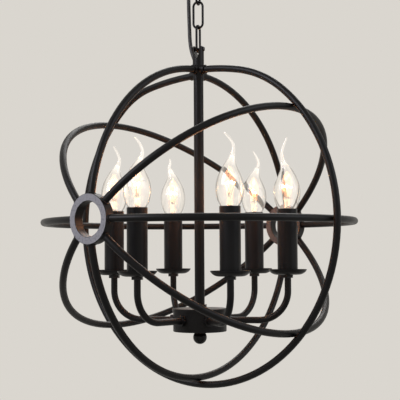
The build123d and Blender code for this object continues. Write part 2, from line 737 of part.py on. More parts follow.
with BuildPart() as cord_gland:
    with BuildSketch(Plane(origin=(cord_x, 0, -cup_h - gland_flange_h))):
        Circle(gland_flange_d / 2)
    extrude(amount=gland_flange_h)
    chamfer(cord_gland.edges().group_by(Axis.Z)[0], 1.0)
    with BuildSketch(Plane(origin=(cord_x, 0, -cup_h - gland_flange_h))):
        Circle(gland_d / 2)
    extrude(amount=gland_flange_h + gland_h)
    with BuildSketch(Plane(origin=(cord_x, 0, -cup_h - gland_flange_h))):
        Circle((cord_d + cord_fit) / 2)
    extrude(amount=gland_flange_h + gland_h, mode=Mode.SUBTRACT)
save(cord_gland, "cord_gland")

with BuildPart() as terminal_block:
    with BuildSketch(Plane(origin=(cord_x, 0, -bar_t - block_size[2]))):
        RectangleRounded(block_size[0], block_size[1], 1.5)
    extrude(amount=block_size[2])
save(terminal_block, "terminal_block")

# ---------------------------------------------------------------- supply cord
cord_route = [Vector(x, 0, height + pin_z) for x, height in cord_points]
cord_route[0] = Vector(cord_x, 0, -bar_t - block_size[2])
cord_radii = []
for before, here, after in zip(cord_route, cord_route[1:], cord_route[2:]):
    turn = math.radians((here - before).get_angle(after - here))
    shorter = min((here - before).length, (after - here).length)
    cord_radii.append(0.45 * shorter / math.tan(turn / 2))
print("cord radii", [round(r, 1) for r in cord_radii])

with BuildPart() as supply_cord:
    with BuildLine() as path:
        FilletPolyline(*cord_route, radius=cord_radii)
    sweep_round(path.line, cord_d)
cord_length = sum(edge.length for edge in path.edges())
print("cord length", round(cord_length, 1))
cord_share = supply_cord.part.volume / (math.pi * cord_d**2 / 4 * cord_length)
print("cord volume over section times length", round(cord_share, 5))
save(supply_cord, "supply_cord")

print("centre of the cage", round(orb_z, 2), "pin", round(pin_z, 2), "links", [round(t, 2) for t in link_tops])
print("loop wire", round(loop_bottom_wire, 2), "link pitch", round(link_pitch, 2))
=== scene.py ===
# The orb chandelier's looks, built round its fixed CAD frame: satin black bars round six lit
# candle bulbs. Metres, +Z up, with the ceiling at zero height.
import math
import random

import bpy
from mathutils import Matrix, Vector


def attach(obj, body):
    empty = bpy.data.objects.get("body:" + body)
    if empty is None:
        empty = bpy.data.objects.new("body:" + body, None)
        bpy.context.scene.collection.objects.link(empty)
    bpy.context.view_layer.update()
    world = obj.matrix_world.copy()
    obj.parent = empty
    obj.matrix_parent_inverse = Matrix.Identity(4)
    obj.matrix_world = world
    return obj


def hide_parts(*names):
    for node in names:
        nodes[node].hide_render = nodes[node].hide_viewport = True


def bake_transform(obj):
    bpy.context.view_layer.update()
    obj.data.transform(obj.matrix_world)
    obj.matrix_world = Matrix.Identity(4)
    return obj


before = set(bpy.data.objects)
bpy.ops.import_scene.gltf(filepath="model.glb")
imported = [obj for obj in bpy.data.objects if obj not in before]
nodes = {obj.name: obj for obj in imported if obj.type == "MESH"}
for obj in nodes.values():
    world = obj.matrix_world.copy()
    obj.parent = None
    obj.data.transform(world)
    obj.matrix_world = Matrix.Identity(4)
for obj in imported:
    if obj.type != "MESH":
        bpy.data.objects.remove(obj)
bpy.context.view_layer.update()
scene = bpy.context.scene
random.seed(8)

MM = 0.001
ORB_Z = -374.4 * MM            # centre of the cage
ARM_CIRCLE = 116.0 * MM        # radius that the candles stand on
ARM_ANGLES = [math.radians(-92.3 + 60 * i) for i in range(6)]
SLEEVE_TOP = ORB_Z + 16.2 * MM

# ---------------------------------------------------------------- camera
# It stands a little below the cage's middle, looks slightly up, and sees the front collar on its left.
VIEW_AZIMUTH = math.radians(39)
VIEW_DISTANCE = 1374 * MM
VIEW_DROP = 42 * MM            # below the centre of the cage
VIEW_PITCH = 0.052
VIEW_YAW = -0.0008
VIEW_ROLL = -0.006
SENSOR = 36.0
FOCAL_PIXELS = 1045.0
FRAME_PIXELS = 400.0

camera_data = bpy.data.cameras.new("camera")
camera_data.sensor_width = SENSOR
camera_data.lens = FOCAL_PIXELS / FRAME_PIXELS * SENSOR
camera = bpy.data.objects.new("camera", camera_data)
scene.collection.objects.link(camera)
scene.camera = camera
standing = Matrix.Translation((
    math.sin(VIEW_AZIMUTH) * VIEW_DISTANCE,
    -math.cos(VIEW_AZIMUTH) * VIEW_DISTANCE,
    ORB_Z - VIEW_DROP,
))
turned = Matrix.Rotation(VIEW_AZIMUTH + VIEW_YAW, 4, "Z")
raised = Matrix.Rotation(math.pi / 2 + VIEW_PITCH, 4, "X")
camera.matrix_world = standing @ turned @ raised @ Matrix.Rotation(VIEW_ROLL, 4, "Z")


# ---------------------------------------------------------------- colours and nodes
def to_linear(hex_colour):
    """An sRGB hex colour as linear red, green, blue and alpha."""
    out = []
    for i in (1, 3, 5):
        share = int(hex_colour[i:i + 2], 16) / 255
        out.append(share / 12.92 if share <= 0.04045 else ((share + 0.055) / 1.055) ** 2.4)
    return (*out, 1.0)


def add_node(tree, kind, inputs=None, **settings):
    """Add a shader node, with its settings, and its inputs set or linked by name or number."""
    made = tree.nodes.new("ShaderNode" + kind)
    for name, value in settings.items():
        setattr(made, name, value)
    for name, value in (inputs or {}).items():
        if isinstance(value, bpy.types.NodeSocket):
            tree.links.new(value, made.inputs[name])
        else:
            made.inputs[name].default_value = value
    return made


def new_material(name):
    """A material with an empty node tree."""
    material = bpy.data.materials.new(name)
    material.use_nodes = True
    material.node_tree.nodes.clear()
    return material, material.node_tree


def finish_material(tree, shader):
    """Give the tree its output."""
    add_node(tree, "OutputMaterial", {"Surface": shader})


def per_mm(size):
    """Texture scale for a pattern of this size in millimetres, on coordinates in metres."""
    return 1000.0 / size


# ---------------------------------------------------------------- finishes
# The sizes of their patterns are in millimetres. Turning lines, rolling lines and moulded grain are
# finer on the real pieces, and are drawn as coarse as they need to be to show.
COAT_PATCH_MM = 38.0           # where a coat is duller or shinier
DUST_SPECKLE_MM = 2.4
SPANGLE_MM = 5.0
FLOW_MM = 14.0                 # mottle where the plastic flowed into its mould
WAVE_PHASE = 20                # a wave texture's phase, in radians, at one unit of scale
TURN_DEPTH_MM = 0.03
GRAIN_DEPTH_MM = 0.06
RIPPLE_DEPTH_MM = 0.4
TIP_GLOW_FOOT = SLEEVE_TOP + 50 * MM
TIP_GLOW_TOP = SLEEVE_TOP + 66 * MM


def powder_coat(name, hex_colour, hex_worn, rough, peel_mm, peel_depth_mm, hex_reflection_grey=None):
    """Baked powder coat: fine orange peel, a soft sheen that varies, and a breath of dust on top.
    With hex_reflection_grey, the flat faces that look along Y get a painted reflection of the studio
    light, a
    lighter grey broken by speckle: wholly on the outside of the cage, and partly on the inside."""
    material, tree = new_material(name)
    place = add_node(tree, "TexCoord").outputs["Object"]
    facing = add_node(tree, "SeparateXYZ", {"Vector": add_node(tree, "NewGeometry").outputs["Normal"]})
    patches = add_node(tree, "TexNoise", {
        "Vector": place, "Scale": per_mm(COAT_PATCH_MM), "Detail": 4.0, "Roughness": 0.6,
    })
    speckle = add_node(tree, "TexNoise", {
        "Vector": place, "Scale": per_mm(DUST_SPECKLE_MM), "Detail": 5.0,
    })

    # orange peel: soft swellings with a finer grain on them
    peel = add_node(tree, "TexNoise", {"Vector": place, "Scale": per_mm(peel_mm), "Detail": 2.0})
    grain = add_node(tree, "TexVoronoi", {
        "Vector": place, "Scale": per_mm(peel_mm * 0.55),
    }, feature="SMOOTH_F1")
    height = add_node(tree, "Math", {
        0: peel.outputs["Fac"], 1: grain.outputs["Distance"],
    }, operation="ADD")
    bump = add_node(tree, "Bump", {
        "Height": height.outputs[0], "Distance": peel_depth_mm * MM, "Strength": 0.55,
    })

    # colour: the coat, its worn patches, and dust on what looks up
    dust = add_node(tree, "MapRange", {
        "Value": facing.outputs["Z"], "From Min": 0.55, "From Max": 1.0, "To Max": 0.10,
    })
    dusty = add_node(tree, "Math", {
        0: dust.outputs[0], 1: speckle.outputs["Fac"],
    }, operation="MULTIPLY")
    tone = add_node(tree, "Mix", {
        "Factor": patches.outputs["Fac"], "A": to_linear(hex_colour), "B": to_linear(hex_worn),
    }, data_type="RGBA")
    colour = add_node(tree, "Mix", {
        "Factor": dusty.outputs[0], "A": tone.outputs["Result"], "B": to_linear("#4a4743"),
    }, data_type="RGBA")
    sheen = add_node(tree, "MapRange", {
        "Value": patches.outputs["Fac"], "From Min": 0.3, "From Max": 0.7,
        "To Min": rough - 0.05, "To Max": rough + 0.07,
    })

    shown = colour.outputs["Result"]
    # painted reflection: the faces that look along Y are painted lighter grey, as if catching the studio
    # light, more outside the cage than inside
    if hex_reflection_grey:
        along = add_node(tree, "Math", {0: facing.outputs["Y"]}, operation="ABSOLUTE")
        faces_along_y = add_node(tree, "MapRange", {
            "Value": along.outputs[0], "From Min": 0.9, "From Max": 0.97,
        })
        reflection_speckle = add_node(tree, "MapRange", {
            "Value": speckle.outputs["Fac"], "From Min": 0.3, "From Max": 0.5,
            "To Min": 0.55, "To Max": 1.0,
        })
        away = add_node(tree, "SeparateXYZ", {"Vector": place})
        outward = add_node(tree, "Math", {
            0: facing.outputs["Y"], 1: away.outputs["Y"],
        }, operation="MULTIPLY")
        outside_share = add_node(tree, "MapRange", {
            "Value": outward.outputs[0], "From Min": -0.1, "From Max": 0.1,
            "To Min": 0.22, "To Max": 1.0,
        })
        speckled_reflection = add_node(tree, "Math", {
            0: faces_along_y.outputs[0], 1: reflection_speckle.outputs[0],
        }, operation="MULTIPLY")
        painted_reflection_share = add_node(tree, "Math", {
            0: speckled_reflection.outputs[0], 1: outside_share.outputs[0],
        }, operation="MULTIPLY")
        shown = add_node(tree, "Mix", {
            "Factor": painted_reflection_share.outputs[0], "A": shown, "B": to_linear(hex_reflection_grey),
        }, data_type="RGBA").outputs["Result"]

    shader = add_node(tree, "BsdfPrincipled", {
        "Base Color": shown, "Roughness": sheen.outputs[0], "Normal": bump.outputs[0],
        "Specular IOR Level": 0.18,
    })
    finish_material(tree, shader.outputs[0])
    return material


def turned_steel(name, hex_groove_shade, hex_crest_highlight, rough, line_mm, metallic):
    """Blackened or plated metal, with turning or rolling lines round the vertical and small spangles. The
    lines carry painted shade in their grooves and a painted highlight on their crests.
    """
    material, tree = new_material(name)
    place = add_node(tree, "TexCoord").outputs["Object"]
    lines = add_node(tree, "TexWave", {
        "Vector": place, "Scale": math.tau * per_mm(line_mm) / WAVE_PHASE,
        "Distortion": 1.5, "Detail": 2.0,
    }, wave_type="BANDS", bands_direction="Z")
    spangle = add_node(tree, "TexVoronoi", {"Vector": place, "Scale": per_mm(SPANGLE_MM)})
    mottle = add_node(tree, "MapRange", {
        "Value": spangle.outputs["Color"], "To Min": rough - 0.06, "To Max": rough + 0.1,
    })
    # painted shade in the lines' grooves and a painted highlight on their crests
    tone = add_node(tree, "Mix", {
        "Factor": lines.outputs["Fac"], "A": to_linear(hex_groove_shade), "B": to_linear(hex_crest_highlight),
    }, data_type="RGBA")
    bump = add_node(tree, "Bump", {
        "Height": lines.outputs["Fac"], "Distance": TURN_DEPTH_MM * MM, "Strength": 0.4,
    })
    shader = add_node(tree, "BsdfPrincipled", {
        "Base Color": tone.outputs["Result"], "Metallic": metallic,
        "Roughness": mottle.outputs[0], "Normal": bump.outputs[0],
    })
    finish_material(tree, shader.outputs[0])
    return material


def moulded(name, hex_light, hex_dark, rough, grain_mm):
    """Moulded plastic or rubber: an even colour with a faint flow mottle and a spark-eroded grain."""
    material, tree = new_material(name)
    place = add_node(tree, "TexCoord").outputs["Object"]
    flow = add_node(tree, "TexNoise", {"Vector": place, "Scale": per_mm(FLOW_MM), "Detail": 3.0})
    grain = add_node(tree, "TexNoise", {"Vector": place, "Scale": per_mm(grain_mm), "Detail": 3.0})
    tone = add_node(tree, "Mix", {
        "Factor": flow.outputs["Fac"], "A": to_linear(hex_dark), "B": to_linear(hex_light),
    }, data_type="RGBA")
    bump = add_node(tree, "Bump", {
        "Height": grain.outputs["Fac"], "Distance": GRAIN_DEPTH_MM * MM, "Strength": 0.6,
    })
    matt = add_node(tree, "MapRange", {
        "Value": grain.outputs["Fac"], "To Min": rough - 0.06, "To Max": rough + 0.06,
    })
    shader = add_node(tree, "BsdfPrincipled", {
        "Base Color": tone.outputs["Result"], "Roughness": matt.outputs[0],
        "Normal": bump.outputs[0],
    })
    finish_material(tree, shader.outputs[0])
    return material


def blown_glass(name, hex_clear, hex_rim_shade, ripple_mm, veil, tip_glow, hex_veil):
    """Clear blown glass: long ripples down the way it was drawn, a painted grey shade at the rim where
    one looks along the wall, and the veil of light of a lit bulb, strongest where one looks straight at
    it."""
    material, tree = new_material(name)
    place = add_node(tree, "TexCoord").outputs["Object"]
    drawn = add_node(tree, "Mapping", {"Vector": place, "Scale": (1.0, 1.0, 0.3)})
    ripple = add_node(tree, "TexNoise", {
        "Vector": drawn.outputs[0], "Scale": per_mm(ripple_mm), "Detail": 1.0,
    })
    bump = add_node(tree, "Bump", {
        "Height": ripple.outputs["Fac"], "Distance": RIPPLE_DEPTH_MM * MM, "Strength": 0.14,
    })
    # painted shade: the glass is painted greyer towards its rim, where one looks along the wall
    rim = add_node(tree, "LayerWeight", {"Blend": 0.42})
    edge = add_node(tree, "MapRange", {
        "Value": rim.outputs["Facing"], "From Min": 0.35, "From Max": 1.0,
    }, interpolation_type="SMOOTHSTEP")
    rim_shaded_tint = add_node(tree, "Mix", {
        "Factor": edge.outputs[0], "A": to_linear(hex_clear), "B": to_linear(hex_rim_shade),
    }, data_type="RGBA")
    streak = add_node(tree, "MapRange", {
        "Value": ripple.outputs["Fac"], "From Min": 0.35, "From Max": 0.65,
        "To Min": 0.5 * veil, "To Max": 1.3 * veil,
    })
    inward = add_node(tree, "MapRange", {"Value": edge.outputs[0], "To Min": 1.0, "To Max": 0.1})
    veiled = add_node(tree, "Math", {
        0: streak.outputs[0], 1: inward.outputs[0],
    }, operation="MULTIPLY")
    # the solid tip carries light up from the filament like a glass fibre
    height = add_node(tree, "SeparateXYZ", {"Vector": place})
    carried = add_node(tree, "MapRange", {
        "Value": height.outputs["Z"], "From Min": TIP_GLOW_FOOT, "From Max": TIP_GLOW_TOP,
        "To Max": tip_glow,
    })
    glow = add_node(tree, "Math", {0: veiled.outputs[0], 1: carried.outputs[0]}, operation="ADD")
    shader = add_node(tree, "BsdfPrincipled", {
        "Base Color": rim_shaded_tint.outputs["Result"], "Roughness": 0.015, "IOR": 1.5,
        "Transmission Weight": 1.0, "Normal": bump.outputs[0],
        "Emission Color": to_linear(hex_veil), "Emission Strength": glow.outputs[0],
    })
    finish_material(tree, shader.outputs[0])
    return material


def hot_wire(name, hex_colour, hex_hottest, turn_mm, strength):
    """Tungsten at white heat, hotter in some of its turns than in others."""
    material, tree = new_material(name)
    place = add_node(tree, "TexCoord").outputs["Object"]
    turns = add_node(tree, "TexNoise", {"Vector": place, "Scale": per_mm(turn_mm)})
    tone = add_node(tree, "Mix", {
        "Factor": turns.outputs["Fac"], "A": to_linear(hex_colour), "B": to_linear(hex_hottest),
    }, data_type="RGBA")
    shader = add_node(tree, "BsdfPrincipled", {
        "Base Color": to_linear("#8a7f74"), "Roughness": 0.5, "Metallic": 1.0,
        "Emission Color": tone.outputs["Result"], "Emission Strength": strength,
    })
    finish_material(tree, shader.outputs[0])
    return material


# Sprayed, charged and baked, so the black is satin and dimpled like an orange skin. It is a little
# smoother on sheet than on bar, and the collars' faces carry a painted reflection, a lighter grey in
# their colour.
bar_coat = powder_coat("powder_coated_iron_bar", "#050506", "#09090b", 0.4, 1.6, 0.09)
sheet_coat = powder_coat("powder_coated_sheet_steel", "#060607", "#0b0b0d", 0.38, 1.6, 0.07)
collar_coat = powder_coat("powder_coated_turned_collar", "#070708", "#0c0c0e", 0.38, 1.4, 0.06, "#929297")
# Dipped enamel flows out as it dries: the ball has small sharp highlights and hardly any dimples.
gloss_coat = powder_coat("glossy_black_enamelled_ball", "#050506", "#08080a", 0.16, 6.0, 0.02)
# Lacquer sprayed on thin tube: its dimples are wider and shallower than the bars', and it shines more.
tube_coat = powder_coat("satin_lacquered_candle_tube", "#08080a", "#0f0f12", 0.33, 2.2, 0.05)
# Metals: turning or rolling lines round the piece break up its highlights.
black_screws = turned_steel("black_oxide_steel", "#17181a", "#202124", 0.38, 3.77, 0.6)
zinc_plate = turned_steel("zinc_plated_sheet_steel", "#a9adb2", "#bfc3c6", 0.36, 7.54, 1.0)
lamp_cap_metal = turned_steel("rolled_nickel_brass_cap", "#b9b3a6", "#cfcabf", 0.24, 3.14, 1.0)
lead_in_wire = turned_steel("nickel_lead_in_wire", "#9a958c", "#b0aba2", 0.3, 2.51, 1.0)
# Moulded pieces: an even, soft shine that the grain breaks up.
white_plastic = moulded("moulded_white_polyamide", "#e6e3db", "#d6d2c8", 0.45, 0.5)
black_plastic = moulded("moulded_black_thermoset", "#1a1a1b", "#121213", 0.4, 0.5)
cord_sheath = moulded("black_rubber_cord_sheath", "#0c0c0d", "#070708", 0.5, 0.8)
# Glass: the wall all but vanishes face on and has a painted grey shade at its rim; the stem is a little
# milky and carries a stronger painted veil of light.
bulb_glass = blown_glass("clear_blown_soda_glass", "#fefdfb", "#716e6b", 8.0, 0.05, 0.12, "#fff4e8")
stem_glass = blown_glass("clear_drawn_lead_glass", "#f6f4ee", "#a8a49c", 4.0, 0.12, 0.0, "#ffe9c8")
# Bright enough to burn out to white, as a lit filament does in a photograph.
filament_wire = hot_wire("glowing_tungsten_coil", "#ffc887", "#ffe3b8", 1.5, 40.0)


# ---------------------------------------------------------------- meshes
def mesh_piece(name, vertices, faces, material, body):
    """A new piece that rides on a body of the frame, or on none yet."""
    mesh = bpy.data.meshes.new(name)
    mesh.from_pydata([tuple(v) for v in vertices], [], faces)
    mesh.materials.append(material)
    mesh.shade_smooth()
    piece = bpy.data.objects.new(name, mesh)
    scene.collection.objects.link(piece)
    if body:
        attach(piece, body)
    return piece


def skin_faces(rings, sides):
    """Faces that join rings of vertices in order, with a cap at each end."""
    faces = []
    for r in range(rings - 1):
        for s in range(sides):
            t = (s + 1) % sides
            faces.append((r * sides + s, r * sides + t, (r + 1) * sides + t, (r + 1) * sides + s))
    faces.append(tuple(reversed(range(sides))))
    faces.append(tuple(range((rings - 1) * sides, rings * sides)))
    return faces


def tube_vertices(points, radius_at, sides):
    """Rings of vertices round a line of points, carried along it without twist."""
    vertices = []
    across = None
    for i, point in enumerate(points):
        ahead = points[min(i + 1, len(points) - 1)] - points[max(i - 1, 0)]
        ahead.normalize()
        if across is None:
            across = ahead.orthogonal().normalized()
        across = (across - ahead * across.dot(ahead)).normalized()
        other = ahead.cross(across)
        for s in range(sides):
            turn = 2 * math.pi * s / sides
            vertices.append(point + (across * math.cos(turn) + other * math.sin(turn)) * radius_at(i))
    return vertices


def spun_vertices(profile_mm, sides, foot, ripple=None):
    """Rings of vertices of a spun piece: its profile is (radius, height) in millimetres from its
    foot, and ripple adds to the radius, in metres, at a height and a turn."""
    vertices = []
    for radius, height in profile_mm:
        for s in range(sides):
            turn = 2 * math.pi * s / sides
            reach = radius * MM + (ripple(height * MM, turn) if ripple else 0.0)
            vertices.append(foot + Vector((reach * math.cos(turn), reach * math.sin(turn), height * MM)))
    return vertices


SHARP_EDGE = math.radians(32)


def dress(names, material):
    """Give CAD nodes a finish and even shading."""
    for name in names:
        piece = nodes[name]
        piece.data.materials.clear()
        piece.data.materials.append(material)
        piece.data.shade_smooth()
        bpy.context.view_layer.objects.active = piece
        piece.select_set(True)
        bpy.ops.object.shade_smooth_by_angle(angle=SHARP_EDGE)
        piece.select_set(False)


# ---------------------------------------------------------------- supply cord
# The cord's route repeats the frame's own: straight down from the terminal block through its
# gland, beside the chain, and in at the clevis. It is cut into one stretch for each swing.
CORD_ROUTE_MM = (
    (-16.6, -13.0),
    (-16.6, -40.4),
    (-16.3, -65.4),
    (-15.9, -89.4),
    (-15.0, -112.4),
    (-14.3, -132.9),
    (-10.8, -149.9),
    (-3.1, -165.4),
)
CORD_RADIUS = 2.5 * MM
CORD_SIDES = 24
CORD_LEAST_STEP = 0.05 * MM    # a ring nearer than this to a cut is left out
SWING_HEIGHTS = [h * MM for h in (-53.0, -84.5, -116.5, -148.5)]

route = bpy.data.curves.new("cord_route", "CURVE")
route.dimensions = "3D"
route.resolution_u = 24
spline = route.splines.new("NURBS")
spline.points.add(len(CORD_ROUTE_MM) - 1)
for point, (x, z) in zip(spline.points, CORD_ROUTE_MM):
    point.co = (x * MM, 0.0, z * MM, 1.0)
spline.order_u = 3
spline.use_endpoint_u = True
route_object = bpy.data.objects.new("cord_route", route)
scene.collection.objects.link(route_object)
bpy.context.view_layer.update()
route_mesh = bpy.data.meshes.new_from_object(route_object)
cord_line = [v.co.copy() for v in route_mesh.vertices]
bpy.data.objects.remove(route_object)

# the stretches meet halfway between one swing and the next
cuts = [(a + b) / 2 for a, b in zip(SWING_HEIGHTS, SWING_HEIGHTS[1:])]
cut_line = [cord_line[0]]
cut_places = [0]
for before, after in zip(cord_line, cord_line[1:]):
    for cut in cuts:
        if before.z > cut >= after.z:
            cut_line.append(before.lerp(after, (before.z - cut) / (before.z - after.z)))
            cut_places.append(len(cut_line) - 1)
    if (after - cut_line[-1]).length > CORD_LEAST_STEP:
        cut_line.append(after)
cut_places.append(len(cut_line) - 1)

cord_rings = tube_vertices(cut_line, lambda i: CORD_RADIUS, CORD_SIDES)
for number, (first, last) in enumerate(zip(cut_places, cut_places[1:])):
    line = cut_line[first:last + 1]
    stretch = mesh_piece(
        f"cord_stretch_{number + 1}",
        cord_rings[first * CORD_SIDES:(last + 1) * CORD_SIDES],
        skin_faces(len(line), CORD_SIDES),
        cord_sheath, None,
    )
    if number == 0:
        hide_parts("supply_cord")
    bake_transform(stretch)

# ---------------------------------------------------------------- finishes of the frame's own pieces
six = range(1, 7)
dress(["outer_ring", "upright_ring", "level_ring", "rising_ring", "falling_ring"], bar_coat)
dress(["down_rod", "clevis_hub"], bar_coat)
dress(["chain_link_top", "chain_link_middle", "chain_link_bottom", "hang_loop"], bar_coat)
dress([f"arm_{i}" for i in six], bar_coat)
dress(["front_collar", "rear_collar"], collar_coat)
dress(["canopy_cup", "drum_shell", "drum_lid"] + [f"dish_{i}" for i in six], sheet_coat)
dress(["finial"], gloss_coat)
dress([f"sleeve_{i}" for i in six], tube_coat)
dress(["canopy_screws", "cap_nuts", "loop_nut", "rod_nuts", "arm_nuts", "clevis_pin"], black_screws)
dress(["crossbar"], zinc_plate)
dress(["terminal_block", "wire_connectors"], white_plastic)
dress(["lamp_holders", "cord_gland"], black_plastic)
dress(["lead_wires"], cord_sheath)

# ---------------------------------------------------------------- weld beads
# Each collar holds eight bar ends, welded on by hand all round. The beads are coated with the bars.
CAGE_RADIUS = 202 * MM
COLLAR_RADIUS = 30 * MM
BEAD_REACH = 4.8 * MM          # from the bar's axis: the bead's middle lies on the bar's skin
BEAD_SIZE = 1.15 * MM
BEAD_SCALES = 11               # overlapping scales that one bead is laid in
BEAD_ROUNDS = 66               # steps round the bar
BEAD_SIDES = 8
RING_SLANTS = (0.0, 43.5, 90.0, 136.5, 180.0, 223.5, 270.0, 316.5)


def weld_beads(name, side):
    """The beads round the bar ends at the collar on this side along Y."""
    climb = math.asin(COLLAR_RADIUS / CAGE_RADIUS)
    along = Vector((0.0, side, 0.0))
    vertices = []
    faces = []
    for slant in RING_SLANTS:
        out = Vector((math.cos(math.radians(slant)), 0.0, math.sin(math.radians(slant))))
        root = Vector((0, 0, ORB_Z)) + (along * math.cos(climb) + out * math.sin(climb)) * CAGE_RADIUS
        bar = out * math.cos(climb) - along * math.sin(climb)
        first = (along - bar * along.dot(bar)).normalized()
        second = bar.cross(first)
        phase = random.random()
        thick = random.uniform(0.85, 1.15)
        start = len(vertices)
        for a in range(BEAD_ROUNDS):
            turn = 2 * math.pi * a / BEAD_ROUNDS
            reach = first * math.cos(turn) + second * math.sin(turn)
            # the collar's round edge falls away to both sides of the bar
            drop = COLLAR_RADIUS - math.sqrt(COLLAR_RADIUS ** 2 - (BEAD_REACH * math.sin(turn)) ** 2)
            laid = (BEAD_SCALES * a / BEAD_ROUNDS + phase) % 1.0
            size = BEAD_SIZE * thick * (0.82 + 0.3 * math.sin(math.pi * laid))
            middle = root + reach * BEAD_REACH - out * drop
            for b in range(BEAD_SIDES):
                lift = 2 * math.pi * b / BEAD_SIDES
                vertices.append(middle + (reach * math.cos(lift) + bar * math.sin(lift)) * size)
        for a in range(BEAD_ROUNDS):
            here = start + a * BEAD_SIDES
            ahead = start + (a + 1) % BEAD_ROUNDS * BEAD_SIDES
            for b in range(BEAD_SIDES):
                c = (b + 1) % BEAD_SIDES
                faces.append((here + b, here + c, ahead + c, ahead + b))
    mesh_piece(name, vertices, faces, bar_coat, "cage")


weld_beads("front_weld_beads", -1)
weld_beads("rear_weld_beads", 1)


# ---------------------------------------------------------------- bulbs
# Sizes without MM are in millimetres, and heights are above the sleeve's top, each bulb's foot.
# Glass: blown and drawn off by hand, so every tip has its own height, lean and direction. The wall
# is 0.8 mm thick and the tip is solid. The profile is (radius, height).
GLASS_PROFILE_MM = (
    (6.6, -11.0), (6.9, -9.0), (8.7, -5.0), (11.5, 0.0), (13.7, 4.0),
    (15.4, 8.0), (17.0, 14.5), (17.5, 21.0), (17.0, 27.5), (15.6, 33.5),
    (13.3, 39.5), (10.4, 45.5), (7.6, 51.0), (5.3, 56.0), (3.6, 61.0),
)
TIP_RADII_MM = (2.7, 2.2, 1.95, 1.8, 1.65, 1.4, 0.9)
GLASS_WALL = 0.8
GLASS_LEAST_RADIUS = 0.35
GLASS_SIDES = 40
GLASS_STEPS = 84
HOLLOW_TOP = 62.0              # the tip is solid above it
LEAN_FOOT = 34.0               # where the glass begins to lean
LEAN_MIDDLE = 48.0
NECK = 60.0                    # where it has narrowed to the tip
# for each bulb: the tip's height, how far it bows back, how far its end then comes forward, and
# which way forward is, in degrees
TIPS = (
    (87.0, 6.8, 2.2, 217.0),
    (90.0, 4.8, 6.4, 214.0),
    (93.0, 6.4, 0.6, 37.0),
    (86.0, 7.0, 0.6, 222.0),
    (78.0, 5.4, -4.4, 50.0),
    (87.0, 7.2, 0.6, 218.0),
)


def through(knots, height):
    """A smooth value at this height, through knots of (height, value)."""
    if height <= knots[0][0]:
        return knots[0][1]
    if height >= knots[-1][0]:
        return knots[-1][1]
    i = max(k for k in range(len(knots) - 1) if knots[k][0] <= height)
    (h0, v0), (h1, v1) = knots[i], knots[i + 1]

    def slope(k):
        low = knots[max(k - 1, 0)]
        high = knots[min(k + 1, len(knots) - 1)]
        return 0.0 if k == 0 else (high[1] - low[1]) / (high[0] - low[0])

    t = (height - h0) / (h1 - h0)
    reach = h1 - h0
    return ((2 * t ** 3 - 3 * t ** 2 + 1) * v0 + (t ** 3 - 2 * t ** 2 + t) * reach * slope(i)
            + (3 * t ** 2 - 2 * t ** 3) * v1 + (t ** 3 - t ** 2) * reach * slope(i + 1))


def blow_glass(number, foot):
    """The bulb's glass: an outer skin with its drawn tip, and the hollow inside it."""
    top, bow, reach, way = TIPS[number - 1]
    lean_way = Vector((math.cos(math.radians(way)), math.sin(math.radians(way)), 0.0))
    lean = [
        (LEAN_FOOT, 0.0),
        (LEAN_MIDDLE, -0.14 * bow),
        (NECK, -0.66 * bow),
        (NECK + 0.3 * (top - NECK), -bow),
        (NECK + 0.6 * (top - NECK), -0.72 * bow),
        (top, reach),
    ]
    widths = [(height, radius) for radius, height in GLASS_PROFILE_MM]
    shoulder = GLASS_PROFILE_MM[-1][1]
    for k, radius in enumerate(TIP_RADII_MM, start=1):
        widths.append((shoulder + (top - shoulder) * k / len(TIP_RADII_MM), radius))
    outer = (0.0, GLASS_PROFILE_MM[0][1], top)
    hollow = (GLASS_WALL, GLASS_PROFILE_MM[0][1] + GLASS_WALL, HOLLOW_TOP)
    vertices = []
    faces = []
    for inset, lowest, highest in (outer, hollow):
        heights = [lowest + (highest - lowest) * k / GLASS_STEPS for k in range(GLASS_STEPS + 1)]
        line = [foot + Vector((0, 0, h * MM)) + lean_way * (through(lean, h) * MM) for h in heights]
        radii = [max(through(widths, h) - inset, GLASS_LEAST_RADIUS) * MM for h in heights]
        start = len(vertices)
        vertices += tube_vertices(line, lambda i: radii[i], GLASS_SIDES)
        for face in skin_faces(len(line), GLASS_SIDES):
            # the hollow's faces look into it
            faces.append(tuple(start + v for v in (reversed(face) if inset else face)))
    glass = mesh_piece(f"blown_bulb_{number}", vertices, faces, bulb_glass,
                       f"bulb_{number}")
    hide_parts(f"bulb_glass_{number}")
    return glass


# Filament: a coil that zigzags between six hooks, placed as shares of its reach.
COIL_HEIGHT = 28 * MM
COIL_REACH = 7.2 * MM
COIL_HOOKS = (
    (-1.0, 0.0, -0.1), (-0.62, 0.5, 0.42), (-0.2, -0.42, -0.05),
    (0.2, 0.42, 0.45), (0.62, -0.5, -0.05), (1.0, 0.0, 0.1),
)
COIL_STEPS = 60                # in one run from hook to hook
COIL_WIND_STEPS = 7.5          # in one turn of the helix
COIL_RADIUS = 0.55 * MM
COIL_SAG = 0.7 * MM
COIL_TURN = 0.7                # the zigzag's own turn from the arm, in radians
FILAMENT_RADIUS = 0.22 * MM
GLOW_WATTS = 0.3
GLOW_SIZE = 9 * MM


def warm_glow(number, foot, glass):
    """The light that a lit filament throws on the iron round it. It hangs on the glass and casts no
    shadow, because the clear wall would stop it."""
    data = bpy.data.lights.new(f"filament_glow_{number}", "POINT")
    data.energy = GLOW_WATTS
    data.shadow_soft_size = GLOW_SIZE
    data.color = to_linear("#ffa56a")[:3]
    data.use_shadow = False
    light = bpy.data.objects.new(data.name, data)
    scene.collection.objects.link(light)
    light.parent = glass
    light.location = foot + Vector((0, 0, COIL_HEIGHT))
    light.visible_camera = False
    light.visible_transmission = False


